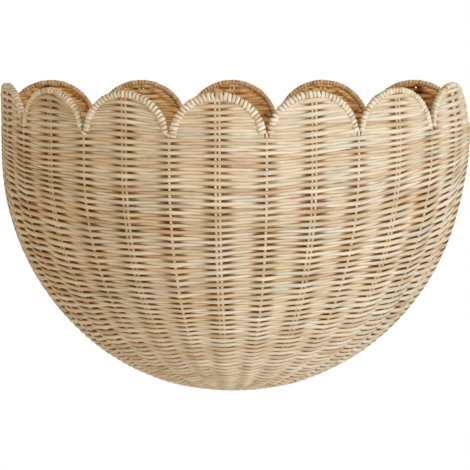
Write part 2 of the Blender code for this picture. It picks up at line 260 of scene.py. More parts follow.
# the back's weave and rims get painted shade, darker and warmer like the basket's shaded inside
backShadedRattan = rattanShader("back_rattan_shaded", (1.26, 0.92, 0.56))
bindingRattan = rattanShader("binding_rattan", (1.10, 1.12, 1.16))
backShadedBindingRattan = rattanShader("back_binding_rattan_shaded", (0.98, 0.76, 0.51))
stakeRattan = rattanShader("stake_rattan", (1.16, 1.08, 0.97))
print("rattan mixed")


# the walls, read off the solids
rodLow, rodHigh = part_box("corner_frame_rod")
rimLow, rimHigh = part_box("front_scallop_4_rim")
backRimLow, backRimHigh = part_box("back_scallop_3_rim")

wall = {
    "planPower": 1.1,
    "uprightHeight": 0.0172,
    "clearance": 0.0003,
    "frontScallops": 7,
    "backScallops": 5,
    "archOverLeg": 0.006,  # how far a rim's legs go below the valley
}
rodRadius = (rodHigh[1] - rodLow[1]) / 2
rimRadius = (backRimHigh[1] - backRimLow[1]) / 2
halfWidth = rodHigh[0] - rodRadius
wallY = (rodLow[1] + rodHigh[1]) / 2
depth = wallY - rimLow[1] - rimRadius
bottomZ = rodLow[2] + rodRadius
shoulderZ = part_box("front_valley_3_stake")[1][2]
valleyZ = rimLow[2] + wall["archOverLeg"]
archRise = rimHigh[2] - valleyZ - rimRadius
undersideRise = archRise - rimRadius - wall["clearance"]
bowlHeight = shoulderZ - wall["uprightHeight"] - bottomZ
legReach = rimRadius + wall["clearance"] / 2
setBack = (math.sqrt(2) - 1) * legReach

turns = np.linspace(0, math.pi, 2001)
planX = -halfWidth * np.sign(np.cos(turns)) * np.abs(np.cos(turns)) ** wall["planPower"]
planY = -depth * np.sin(turns) ** wall["planPower"]
planS = np.concatenate([[0], np.cumsum(np.hypot(np.diff(planX), np.diff(planY)))])
planTangents = np.gradient(np.stack([planX, planY, 0 * planX], -1), planS, axis=0)
frontLength = planS[-1]


def stationsAlong(length, scallops):
    # both corners, the middle of each scallop and each valley
    step = (length - 2 * setBack) / scallops / 2
    return np.array([0] + [setBack + step * i for i in range(1, 2 * scallops)] + [length]), step


frontStations, frontHalfBay = stationsAlong(frontLength, wall["frontScallops"])
backStations, backHalfBay = stationsAlong(2 * halfWidth, wall["backScallops"])
backStations = backStations - halfWidth


def unit(vectors):
    return vectors / np.maximum(np.linalg.norm(vectors, axis=-1, keepdims=True), 1e-12)


def repeated(vector, count):
    return np.repeat(np.array([vector], float), count, 0)


def waves(terms, x, y):
    return sum(np.sin(perX * x + perY * y + shift) for perX, perY, shift in terms)


def spreadAt(h):
    # how wide the bowl is at a height above its bottom, from 0 to 1
    return np.sqrt(1 - np.clip(1 - h / bowlHeight, 0, 1) ** 2)


def asideAt(s):
    # 0 at the front's middle and 1 at either corner
    return np.abs(2 * s / frontLength - 1)


def bowed(s, h):
    # a point of the front wall at a distance along its plan and a height above the bottom
    s, h = np.broadcast_arrays(np.asarray(s, float), np.asarray(h, float))
    spread, x, y = spreadAt(h), np.interp(s, planS, planX), np.interp(s, planS, planY)
    return np.stack([spread * x, spread * y + wallY, bottomZ + h], -1)


def bowedNormal(s, h):
    s, h = np.broadcast_arrays(np.asarray(s, float), np.asarray(h, float))
    flat, x, y = np.clip(1 - h / bowlHeight, 0, 1), np.interp(s, planS, planX), np.interp(s, planS, planY)
    upward = np.stack([flat * x, flat * y, bowlHeight * spreadAt(h)], -1)
    return unit(np.cross(along(s, planS, planTangents), upward))


# the right corner bellies out a little below its rim
belly = {"reach": 0.0040, "height": -0.030, "above": 0.022, "below": 0.036}


def bellied(points):
    # moves points sideways, most of all at the right corner
    x, z = points[..., 0], points[..., 2] - belly["height"]
    width = np.where(z > 0, belly["above"], belly["below"])
    shift = belly["reach"] * np.clip(x / halfWidth, 0, 1) ** 4 * np.exp(-((z / width) ** 2))
    return points + shift[..., None] * np.array([1.0, 0, 0])


# the weft: single strands that go in and out between the stakes, row over row
weft = {
    "pitch": 0.00232,  # from one row to the next, up the middle of the front
    "backPitch": 0.00205,
    "firstRow": 0.0010,
    "swing": 0.00145,  # how far a strand stands off the middle of the wall at a stake
    "wallSwing": 0.00120,  # the same where the flat back lies against the wall
    "thickness": 0.0021,
    "heightOverStake": 1.36,  # in rows
    "heightAtCrossing": 1.07,
    "tallest": 0.0037,
    "backTallest": 0.0048,  # the back's rows fan out further at the corners
    "wobble": 0.22,
    "backWobble": 0.24,
    "edgeRecess": 0.13,  # painted shade where a strand meets the next row
    "shallowest": 0.50,  # how dark the palest painted shade in the gaps is
    "sides": 8,
    "samples": 12,  # between two stakes
    "crossing": 1.32,  # how long strands stay near the wall's middle where they cross
    "crossingHigh": 2.0,  # how much longer high up, towards the right
    "crossingAside": 0.70,  # and how much shorter at the sides, lower down
    "roundness": 0.25,  # share of a plain cosine in that
    "leastRoom": 0.2,  # of a bay, for the crossing
    "pairFlat": 0.0024,  # half of the flat run over a pair of stakes
    "singleFlat": 0.0007,
    "narrowBay": (0.0035, 0.007),  # strands swing fully in a bay wider than both together
    "leastSwing": 0.12,
    "facet": 0.75,  # how straight the strands run from stake to stake
    "fullerBack": 1.18,  # how much taller strands are in the back
    "fullerHigh": 0.21,  # and towards the rims on the right
    "fullerLow": 0.28,  # and at the bottom
    "fullerAside": 0.15,  # and at the corners
    "fullerRight": 0.08,  # and low down towards the right one
    "patchiness": 0.035,
    "patches": ((23, 0.21, 0), (51, -0.13, 1), (9, 0.47, 0)),  # waves along the wall and from row to row
    "overlap": 0.0020,  # of the highest row and its rim
    "aboveShoulder": 0.0052,  # how far unbroken rows go up past the solid shoulder
    "tuck": 0.0029,  # how far the rows go in behind a rim
    "fineSamples": 2400,
    "shortest": 0.003,
    "endGap": 0.0008,  # the least step to a strand's end
    "swingAtRim": (0.62, 0.4),  # share at the rim's underside, and the least
    "rimFade": 0.008,
    "calmerAside": 0.46,  # how much less the strands swing at the corners
    "thickerAside": 0.4,
    "gapShadeDepth": (2.0, 0.15, 0.9),  # slope, start and most of the painted shade in the sides' gaps
    "arching": (0.016, 0.028, 0.012, 0.001, 0.004, 0.008, 0.004),  # how far each scallop's top rows arch
    "seed": 4,
}
# a strand's turn round the corner rod
turn = {
    "rod": 0.0011,
    "angles": (25, 55, 85, 115, 145, 175),
    "standOff": 0.35,  # of the strand's thickness
    "thickness": 0.7,
    "pitch": 1.1,
    "ease": (0.45, 0.002),  # where the swing gives way to it, in half bays and on top of that
}
cornerRadius = turn["rod"] + turn["standOff"] * weft["thickness"]
# where each change of the weave starts, and how much further on it is complete
zones = {
    "corner": (0.8, 0.2),  # these from the front's middle, at 0, to its corners, at 1
    "calm": (0.8, 0.12),
    "dusk": (0.5, 0.25),
    "beside": (0.35, 0.25),
    "right": (0.30, 0.25),
    "low": (0.021, 0.042),  # above the bottom
    "high": (-0.045, 0.045),  # and these from the shoulder
    "fullHigh": (-0.035, 0.035),
    "facet": (-0.17, 0.17),
}
# how the rows climb towards the corners, at five heights up the wall
climb = {
    "rises": (0.0, 0.002, 0.0142, 0.0252, 0.0085),
    "lowPower": 2.8,
    "highPower": 1.7,
    "lean": 0.0245,
    "leanIn": 4,  # full from a quarter of the height
    "leanOut": 3,  # and less in the top third
    "topLeanShare": 0.75,
    "unevenness": 0.0006,
    "unevenIn": 5,
    "waves": ((31, 40, 1), (67, -55, 2), (17, 90, 0)),
}
wallTop = valleyZ + undersideRise + weft["overlap"] - bottomZ
fullTop = shoulderZ + weft["aboveShoulder"]
climbShares = np.linspace(0, 1, 201)
climbRises = np.interp(climbShares, np.linspace(0, 1, 5), climb["rises"])
kernel = np.hanning(61) / np.hanning(61).sum()
climbRises = np.convolve(np.pad(climbRises, 30, mode="edge"), kernel, mode="valid")


def zone(name, value):
    start, width = zones[name]
    return np.clip((value - start) / width, 0, 1)


def climbed(s, h):
    share = np.clip(h / (shoulderZ - bottomZ), 0, 1)
    rise = np.interp(share, climbShares, climbRises)
    power = climb["lowPower"] + (climb["highPower"] - climb["lowPower"]) * share
    fade = np.clip(climb["leanIn"] * share, 0, 1)
    fade = fade * np.clip(climb["leanOut"] * (1 - share), climb["topLeanShare"], 1)
    uneven = climb["unevenness"] * waves(climb["waves"], s, h) * np.clip(climb["unevenIn"] * share, 0, 1)
    scallop = np.clip((s - setBack) // (2 * frontHalfBay), 0, wall["frontScallops"] - 1).astype(int)
    offset = (s - frontStations[1::2][scallop]) / frontHalfBay
    over = np.clip((h + bottomZ - shoulderZ) / (wallTop + bottomZ - shoulderZ), 0, 1)
    uneven = uneven - np.array(weft["arching"])[scallop] * over**3 * offset**2
    return h + rise * asideAt(s) ** power + climb["lean"] * (s - frontLength / 2) * fade + uneven


def faceted(s, h, heights):
    # the wall with its weave drawn straight from stake to stake, most of all low down
    smooth = bowed(s, h)
    chord = along(s, frontStations, bowed(frontStations, heights))
    share = weft["facet"] * (1 - zone("facet", h + bottomZ - shoulderZ) ** 4)
    return smooth + (chord - smooth) * np.asarray(share)[..., None]


def along(place, grid, values):
    # reads values, or vectors, that are known on a grid
    if values.ndim == 1:
        return np.interp(place, grid, values)
    return np.stack([np.interp(place, grid, column) for column in values.T], -1)


def swingBetween(stations, s, scale, parity, crossing):
    # +1 outside one stake, -1 inside the next, with a flat run over each
    index = np.clip(np.searchsorted(stations, s, side="right") - 1, 0, len(stations) - 2)
    bay = stations[index + 1] - stations[index]
    span, part = bay * scale, (s - stations[index]) / bay
    flats = np.array([weft["singleFlat"], weft["pairFlat"]])
    before, after = flats[index % 2] / span, flats[1 - index % 2] / span
    x = np.clip((part - before) / np.maximum(1 - before - after, weft["leastRoom"]), 0, 1)
    rounded = weft["roundness"] * np.cos(math.pi * x)
    wave = rounded + (1 - weft["roundness"]) * np.sign(1 - 2 * x) * np.abs(1 - 2 * x) ** crossing
    sign = np.where((index + parity) % 2 == 0, 1.0, -1.0)
    narrow, wider = weft["narrowBay"]
    return wave * sign * np.clip((span - narrow) / wider, weft["leastSwing"], 1)


class Guides:
    # centre lines with what the strands need to know at each point
    labels = ("along", "swing", "pitch", "thick", "dusk", "strand")

    def __init__(self):
        self.rows = []

    def add(self, points, normals, ups, *values):
        # the values are those of the labels from swing on
        points = bellied(points)
        lengths = np.linalg.norm(np.diff(points, axis=0), axis=1)
        run = np.concatenate([[0], np.cumsum(lengths)])
        values = [np.broadcast_to(np.asarray(value, float), run.shape) for value in (run, *values)]
        self.rows.append((points, normals, ups, *values))

    def column(self, index):
        return np.concatenate([row[index] for row in self.rows]).astype(np.float32).ravel()

    def build(self, name):
        mesh = bpy.data.meshes.new(name)
        edges, start = [], 0
        for row in self.rows:
            edges += [(start + i, start + i + 1) for i in range(len(row[0]) - 1)]
            start += len(row[0])
        mesh.from_pydata(self.column(0).reshape(-1, 3).tolist(), edges, [])
        for index, label in enumerate(("wallNormal", "rowUp", *self.labels), 1):
            column = mesh.attributes.new(label, kindOf(label), "POINT").data
            column.foreach_set("vector" if label in vectorLabels else "value", self.column(index))
        return linked(name, mesh)


random = np.random.default_rng(weft["seed"])


def arcTable(halfSpan):
    # lengths and heights up a quarter of a bowl and the upright wall over it
    angles = np.linspace(0, math.pi / 2, 800)
    step = np.hypot(halfSpan * np.cos(angles), bowlHeight * np.sin(angles))
    length = np.concatenate([[0], np.cumsum((step[1:] + step[:-1]) / 2 * np.diff(angles))])
    height = bowlHeight * (1 - np.cos(angles))
    return np.append(length, length[-1] + wallTop - bowlHeight), np.append(height, wallTop)


# the front's middle line, as a length from the bottom, gives the rows their heights
profileLength, profileHeight = arcTable(depth)
rowCount = round((profileLength[-1] - weft["firstRow"]) / weft["pitch"])
rowStep = (profileLength[-1] - weft["firstRow"]) / rowCount
rowLengths = weft["firstRow"] + rowStep * (np.arange(rowCount) + 0.5)
rowHeights = np.interp(rowLengths, profileLength, profileHeight)


def samplesOver(stations):
    segment = np.arange(weft["samples"]) / weft["samples"]
    runs = [a + (b - a) * segment for a, b in zip(stations[:-1], stations[1:])]
    return np.append(np.concatenate(runs), stations[-1])


def stepsUp(points):
    # the direction and the distance from row to row
    steps = np.gradient(points, axis=0)
    return unit(steps), np.linalg.norm(steps, axis=2)


frontS = samplesOver(frontStations)
gridHeights = np.array([climbed(frontS, height) for height in rowHeights])
gridPoints = np.array([
    faceted(frontS, heights, climbed(frontStations, height))
    for height, heights in zip(rowHeights, gridHeights)
])
gridNormals = np.array([bowedNormal(frontS, heights) for heights in gridHeights])
gridUps, gridPitch = stepsUp(gridPoints)
cornerness = zone("corner", asideAt(frontS))
highness = zone("fullHigh", gridPoints[:, :, 2] - shoulderZ)
rightness = zone("right", 2 * frontS / frontLength - 1) * (1 - highness) * (1 - cornerness)
fullness = 1 + weft["fullerHigh"] * highness * frontS / frontLength
fullness = fullness + weft["fullerLow"] * (1 - zone("low", gridHeights))
fullness = fullness + weft["fullerAside"] * cornerness + weft["fullerRight"] * rightness
fullness = fullness + weft["patchiness"] * waves(weft["patches"], frontS, np.arange(rowCount)[:, None])
gridPitch = gridPitch * fullness


def roomUnderRim(place, z, halfBay, first):
    # how far a point is inside its scallop's rim, with plenty below the shoulder
    offset = np.abs((place - first - setBack) % (2 * halfBay) - halfBay)
    across = halfBay - legReach - rimRadius - wall["clearance"]
    lift = np.clip((z - valleyZ) / undersideRise, 0, None)
    room = (1 - np.hypot(offset / across, lift)) * undersideRise
    return np.where(z <= fullTop, undersideRise, room)


def runsWhere(mask):
    # the first and last index of each unbroken stretch
    steps = np.diff(np.concatenate([[0], mask.astype(int), [0]]))
    return list(zip(np.flatnonzero(steps == 1), np.flatnonzero(steps == -1) - 1))


def layRow(guides, grid, row, swingAt, halfBay, wrap=None, hole=None):
    # lays a row's strand wherever there is wall for it
    points, normals, ups, pitch = row
    fine = np.linspace(grid[0], grid[-1], weft["fineSamples"])
    z = along(fine, grid, points[:, 2])
    mask = roomUnderRim(fine, z, halfBay, grid[0]) > -weft["tuck"]
    if hole is not None:
        mask &= ~hole(fine, z)
    for low, high in runsWhere(mask):
        start, end = fine[low], fine[high]
        if end - start < weft["shortest"]:
            continue
        inner = grid[(grid > start + weft["endGap"]) & (grid < end - weft["endGap"])]
        run = np.concatenate([[start], inner, [end]])
        given = (points, unit(normals), unit(ups), pitch)
        laid, *others, pitches = (along(run, grid, values) for values in given)
        swing, thick, dusk = swingAt(run, laid)
        atRim, least = weft["swingAtRim"]
        room = roomUnderRim(run, laid[:, 2], halfBay, grid[0])
        swing = swing * np.clip(atRim + room / weft["rimFade"], least, 1)
        values = [laid, *others, swing, pitches, thick, dusk]
        if wrap is not None:
            values = wrap(values, [at for at, place in ((0, start), (-1, end)) if place == grid[at]])
        guides.add(*values, random.random())


def cornerWrap(values, ends):
    # adds a strand's turns round the corner rod, from outside to inside
    angles = np.radians(turn["angles"])
    count = len(angles)
    for end in ends:
        points, normals, ups, swing, pitch, thick, dusk = values
        radial = np.cos(angles)[:, None] * normals[end] + np.sin(angles)[:, None] * np.array([0, 1.0, 0])
        added = [points[end] + cornerRadius * radial, radial, repeated(ups[end], count)]
        rest = (0.0, pitch[end] * turn["pitch"], turn["thickness"], dusk[end])
        added += [np.full(count, value) for value in rest]
        values = [np.concatenate([v, a] if end else [a[::-1], v]) for a, v in zip(added, values)]
    return values


def frontSwing(k, s, points):
    spread, aside = spreadAt(points[:, 2] - bottomZ), asideAt(s)
    high = zone("high", points[:, 2] - shoulderZ)
    crossing = weft["crossing"] + weft["crossingHigh"] * high * s / frontLength
    crossing = crossing - weft["crossingAside"] * zone("beside", aside) * (1 - high)
    swing = swingBetween(frontStations, s, spread, k, crossing)
    # painted shade in the gaps behind the stakes, towards the corners
    slope, start, most = weft["gapShadeDepth"]
    dusk = np.clip(-slope * swing - start, 0, most) * zone("dusk", aside)
    # at the corners every row goes round the outside of the rod
    reach = turn["ease"][0] * frontHalfBay * spread + turn["ease"][1]
    ease = np.clip(np.minimum(s, frontLength - s) * spread / reach, 0, 1)
    ease = ease * ease * (3 - 2 * ease)
    calm = zone("calm", aside)
    swing = swing * (1 - weft["calmerAside"] * calm) * ease + (1 - ease) * cornerRadius / weft["swing"]
    thick = turn["thickness"] + (1 - turn["thickness"] + weft["thickerAside"] * calm) * ease
    return swing, thick, dusk


def layWall(rows, grid, swingAt, halfBay, **extras):
    # all the rows of a wall, as its lower and its upper half
    halves = Guides(), Guides()
    for k, row in enumerate(rows):
        layRow(halves[k >= len(rows) // 2], grid, row, partial(swingAt, k), halfBay, **extras)
    return halves


frontRows = list(zip(gridPoints, gridNormals, gridUps, gridPitch))
lowerGuides, upperGuides = layWall(frontRows, frontS, frontSwing, frontHalfBay, wrap=cornerWrap)

# the flat back: rows arch over the bottom and level out under the rim
back = {
    "unevenness": 0.0006,
    "unevenIn": 0.04,  # the height from which they are fully uneven
    "waves": ((37, 60, 0), (71, -45, 2)),
    "inset": 0.0012,  # of the rows' ends from the corners
    "endFade": 0.006,
    "endSwing": -0.5,
    "gapWaves": ((690, 2.3, 0),),  # painted shade in gaps here and there along the rim
    "gapRoom": 0.0015,  # how far inside the rim they are
    "gapReach": 0.0030,
    "gapFlat": 1.2,
    "gapShadeDepth": 0.9,
}
hangingHole = {
    "aside": 0.0022,  # from the middle of its scallop, towards the basket's middle
    "up": 0.0008,
    "halfWidth": 0.0011,
    "halfHeight": 0.0010,
    "holeShade": (0.0044, 0.0015),  # how far the painted shade round it reaches, and its fade
}
edgeLength, edgeHeight = arcTable(halfWidth)
backTop = shoulderZ - bottomZ
backCount = round((wallTop - weft["firstRow"]) / weft["backPitch"])
backStep = (wallTop - weft["firstRow"]) / backCount
backX = samplesOver(backStations)
shoulderLength = edgeLength[-1] - (wallTop - backTop)
lean = np.sqrt(np.clip(1 - (backX / halfWidth) ** 2, 0, 1))
backPoints = []
for k in range(backCount):
    middle = weft["firstRow"] + backStep * (k + 0.5)
    corner = middle
    if middle <= backTop:
        corner = np.interp(middle / backTop * shoulderLength, edgeLength, edgeHeight)
    uneven = back["unevenness"] * waves(back["waves"], backX, middle) * min(1, middle / back["unevenIn"])
    rowZ = bottomZ + corner + (middle - corner) * lean + uneven
    narrowed = backX * (spreadAt(corner) - back["inset"] / halfWidth)
    backPoints.append(np.stack([narrowed, np.full_like(backX, wallY), rowZ], -1))
backPoints = np.array(backPoints)
backUps, backPitch = stepsUp(backPoints)
backPitch = backPitch * weft["fullerBack"]
holePlaces = (backStations[1] - hangingHole["aside"], backStations[-2] + hangingHole["aside"])


def fromHoles(x, z, width=1.0, height=1.0):
    # the distance from the nearer hole, in these units
    up = (z - hangingHole["up"]) / height
    return np.minimum(*[np.hypot((x - hole) / width, up) for hole in holePlaces])


def isHole(x, z):
    return fromHoles(x, z, hangingHole["halfWidth"], hangingHole["halfHeight"]) < 1


def backSwing(k, x, points):
    spread = np.abs(points[:, 0]).max() / np.abs(x).max()
    swing = swingBetween(backStations, x, spread, k, weft["crossing"])
    ease = np.clip((halfWidth - np.abs(x)) * spread / back["endFade"], 0, 1)
    # painted shade round each hanging hole
    reach, fade = hangingHole["holeShade"]
    dusk = np.clip((reach - fromHoles(points[:, 0], points[:, 2])) / fade, 0, 1)
    room = roomUnderRim(x, points[:, 2], backHalfBay, backX[0])
    # painted shade in gaps just inside the rim
    gaps = np.clip(back["gapFlat"] - np.abs(room - back["gapRoom"]) / back["gapReach"], 0, 1)
    dusk = np.maximum(dusk, np.clip(back["gapShadeDepth"] * waves(back["gapWaves"], x, k) * gaps, 0, 1))
    return swing * ease + back["endSwing"] * (1 - ease), np.ones_like(x), dusk


backNormals = [repeated((0, 1, 0), len(backX))] * backCount
backRows = list(zip(backPoints, backNormals, backUps, backPitch))
lowerBackGuides, upperBackGuides = layWall(backRows, backX, backSwing, backHalfBay, hole=isHole)
print("rows laid out:", rowCount, "up the front and", backCount, "up the back")


# geometry nodes that turn the rows into strands
def newTree(name, values):
    # its inputs are the geometry and one for each value
    tree = bpy.data.node_groups.new(name, "GeometryNodeTree")
    for side in ("OUTPUT", "INPUT"):
        tree.interface.new_socket("Geometry", in_out=side, socket_type="NodeSocketGeometry")
    for label, value in values.items():
        kind = {float: "Float", int: "Int"}.get(type(value), "Material")
        tree.interface.new_socket(label, in_out="INPUT", socket_type=f"NodeSocket{kind}")
    graph = Graph(tree)
    source = tree.nodes.new("NodeGroupInput")
    return graph, {s.name: Wire(graph, s) for s in source.outputs if s.name}


def finishTree(graph, geometry, material):
    geometry = graph.shape("RealizeInstances", {0: geometry})
    geometry = graph.shape("SetShadeSmooth", {"Geometry": geometry, "Shade Smooth": True})
    geometry = graph.shape("SetMaterial", {"Geometry": geometry, "Material": material})
    graph.link(geometry, graph.tree.nodes.new("NodeGroupOutput").inputs[0])
    return graph.tree


# how unevenly the strands run, and where painted shade darkens them
drift = {
    "seedStep": 13.7,
    "wander": (90.0, 900.0),  # noise along a strand and from one strand to the next
    "outward": 1.2,
    "upward": 2.0,
    "size": 1.6,
    "patches": (45.0, 700.0),
    "patchRange": (0.34, 0.62),
    "behindShadeRange": (0.28, 0.66),  # how far behind the wall's middle a strand gets painted shade
    "edgeStart": 0.5,  # share of its half height from which its edge gets painted shade
    "fibreShift": (7.0, 3.0),  # from one strand's fibres to the next one's
}
ringRadius = 0.001


def strandTree(values):
    graph, inputs = newTree("woven_strands", values)
    normal, up = graph.named("wallNormal"), graph.named("rowUp")
    run, swing, pitch, thick, dusk, strand = (graph.named(label) for label in Guides.labels)
    seed = inputs["Seed"] * drift["seedStep"]

    def noiseAlong(scales, out=0):
        return graph.noise(graph.vector(run * scales[0], strand * scales[1], seed), 1.0, out)

    wanderOut, wanderUp, wanderSize = graph.split(noiseAlong(drift["wander"], 1) - 0.5)
    reach = graph.blend(graph.maths("GREATER_THAN", swing, 0.0), inputs["Swing"], inputs["Wall Swing"])
    aside = wanderOut * inputs["Thickness"] * inputs["Wobble"] * drift["outward"]
    offset = normal * (swing * reach + aside)
    offset = offset + up * (wanderUp * pitch * inputs["Wobble"] * drift["upward"])
    guide = graph.shape("SetPosition", {"Geometry": inputs["Geometry"], "Offset": offset})
    curve = graph.shape("MeshToCurve", {"Mesh": guide})
    position = graph.node("GeometryNodeInputPosition")
    curve = graph.store(curve, "centre", position)
    overStake = graph.maths("ABSOLUTE", swing)
    rows = graph.blend(overStake, inputs["Height At Crossing"], inputs["Height Over Stake"])
    height = graph.maths("MINIMUM", pitch * rows, inputs["Tallest"])
    height = height * (1.0 + wanderSize * inputs["Wobble"] * drift["size"])
    curve = graph.store(curve, "halfHeight", height * 0.5)
    curve = graph.store(curve, "halfThick", inputs["Thickness"] * thick * 0.5)
    sockets = {"Resolution": inputs["Sides"], "Radius": ringRadius}
    circle = graph.shape("CurvePrimitiveCircle", sockets)
    circle = graph.store(circle, "ring", position)
    mesh = graph.shape("CurveToMesh", {"Curve": curve, "Profile Curve": circle, "Fill Caps": True})
    relative = (position - graph.named("centre")) * (1 / ringRadius)
    outward, upward = graph.dot(relative, normal), graph.dot(relative, up)
    # painted shade: some gaps are deep and dark, others hardly show
    behind = graph.remap((outward * swing) * -1.0, *drift["behindShadeRange"])
    patch = noiseAlong(drift["patches"])
    behind = behind * graph.remap(patch, *drift["patchRange"], inputs["Shallowest"], 1.0)
    # painted shade along a strand's upper and lower edges, where it meets the next row
    edge = graph.maths("ABSOLUTE", upward)
    edge = graph.remap(edge, drift["edgeStart"], 1.0, 0.0, inputs["Edge Recess"])
    # all of it painted shade: behind the stakes, in the gaps and along the edges
    mesh = graph.store(mesh, "recess", graph.maths("MAXIMUM", graph.maths("MAXIMUM", behind, dusk), edge))
    change = normal * (outward * (graph.named("halfThick") - ringRadius))
    change = change + up * (upward * (graph.named("halfHeight") - ringRadius))
    mesh = graph.shape("SetPosition", {"Geometry": mesh, "Offset": change})
    ringX, ringY, _ = graph.split(graph.named("ring"))
    lengthwise, crosswise = drift["fibreShift"]
    fibre = graph.vector(run + strand * lengthwise, ringX, strand * crosswise + ringY)
    mesh = graph.store(mesh, "fibre", fibre)
    return finishTree(graph, mesh, inputs["Material"])


# attributes that no material reads
scaffolding = {*Guides.labels, *vectorLabels, "halfHeight", "halfThick"} - {"strand", "fibre"}


def runTree(tree, guides, name, values):
    # keeps what the tree makes of the guides as a plain mesh
    guide = guides.build(name)
    modifier = guide.modifiers.new("strands", "NODES")
    modifier.node_group = tree
    sockets = {s.name: s.identifier for s in tree.interface.items_tree if s.in_out == "INPUT"}
    for label, value in values.items():
        modifier[sockets[label]] = value
    mesh = bpy.data.meshes.new_from_object(guide.evaluated_get(bpy.context.evaluated_depsgraph_get()))
    mesh.name = name
    for label in [a.name for a in mesh.attributes if a.name in scaffolding]:
        mesh.attributes.remove(mesh.attributes[label])
    bpy.data.objects.remove(guide)
    print(" ", name, sum(len(p.vertices) - 2 for p in mesh.polygons), "triangles")
    return linked(name, mesh)


def dress(piece, slot, *nodes):
    # a piece rides the basket, in place of these solids
    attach(piece, "root")
    if nodes:
        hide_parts(*nodes)


def valuesOf(sizes, *labels):
    # the values kept under the inputs' own names
    return {label: sizes[label[0].lower() + label[1:].replace(" ", "")] for label in labels}


weftValues = {
    **valuesOf(weft, "Swing", "Thickness", "Height At Crossing", "Height Over Stake", "Tallest"),
    **valuesOf(weft, "Wobble", "Edge Recess", "Shallowest", "Sides", "Seed"),
    "Wall Swing": weft["swing"],
    "Material": weftRattan,
}
backValues = {
    **weftValues,
    "Wall Swing": weft["wallSwing"],
    "Tallest": weft["backTallest"],
    "Wobble": weft["backWobble"],
    "Seed": weft["seed"] + 1,
    "Material": backShadedRattan,
}
strands = strandTree(weftValues)
frontPanels = [f"front_scallop_{i + 1}_weave" for i in range(wall["frontScallops"])]
for label, guides, values, nodes in (
    ("front_weave_lower", lowerGuides, weftValues, [*frontPanels, "base_weave"]),
    ("front_weave_upper", upperGuides, weftValues, frontPanels),
    ("back_weave_lower", lowerBackGuides, backValues, ["back_weave"]),
    ("back_weave_upper", upperBackGuides, backValues, ["back_weave"]),
):
    dress(runTree(strands, guides, label, values), "weave", *nodes)
print("weft woven")


# bound rims: a hoop under strokes of flat strand, each square to the edge
binding = {
    "front": {
        "pitch": 0.0029,
        "thickness": 0.0007,
        "bandThickness": 0.0050,
        "depths": (0.0040, 0.0044, 0.0052, 0.0060, 0.0052, 0.0046, 0.0040),
        "widths": (0.0036, 0.0034, 0.0030, 0.0029, 0.0030, 0.0032, 0.0035),
        "gaps": (0.35, 0.50, 0.80, 0.80, 0.80, 0.65, 0.35),  # how much painted shade darkens the hoop between its strokes
    },
    "back": {
        "pitch": 0.0024,
        "thickness": 0.0004,
        "bandThickness": 0.0044,
        "depths": (0.0037,) * 5,
        "widths": (0.0032, 0.0032, 0.0029, 0.0029, 0.0030),
        "gaps": (0.60, 0.80, 0.80, 0.80, 0.80),
    },
    "endAngle": 5.5,  # degrees of each end of the arch that stay unbound
    "points": 49,
    "squareness": 0.72,  # 1 rounds the band, and less squares it
    "lean": 10.0,  # degrees that the strokes lean along the edge
    "unevenLean": 10.0,
    "unevenSize": 0.08,
    "bandSides": 14,
    "strokeSides": 6,
    "hoopSides": 8,
    "hoopInset": 2.5,  # in thicknesses of a stroke
    "fibreTurn": 0.003,
    "fibreShift": 9.0,
    "seed": 9,
}


def rimLine(halfBay, bandDepth):
    # offset from the scallop's middle, height, and the outward direction in the wall
    inset = bandDepth / 2 - rimRadius
    unbound = math.radians(binding["endAngle"])
    angles = np.linspace(unbound, math.pi - unbound, binding["points"])
    offsets = -(halfBay - legReach - inset) * np.cos(angles)
    heights = valleyZ + (archRise - inset) * np.sin(angles)
    tangent = unit(np.stack([np.gradient(offsets), np.gradient(heights)], -1))
    return offsets, heights, np.stack([-tangent[:, 1], tangent[:, 0]], -1)


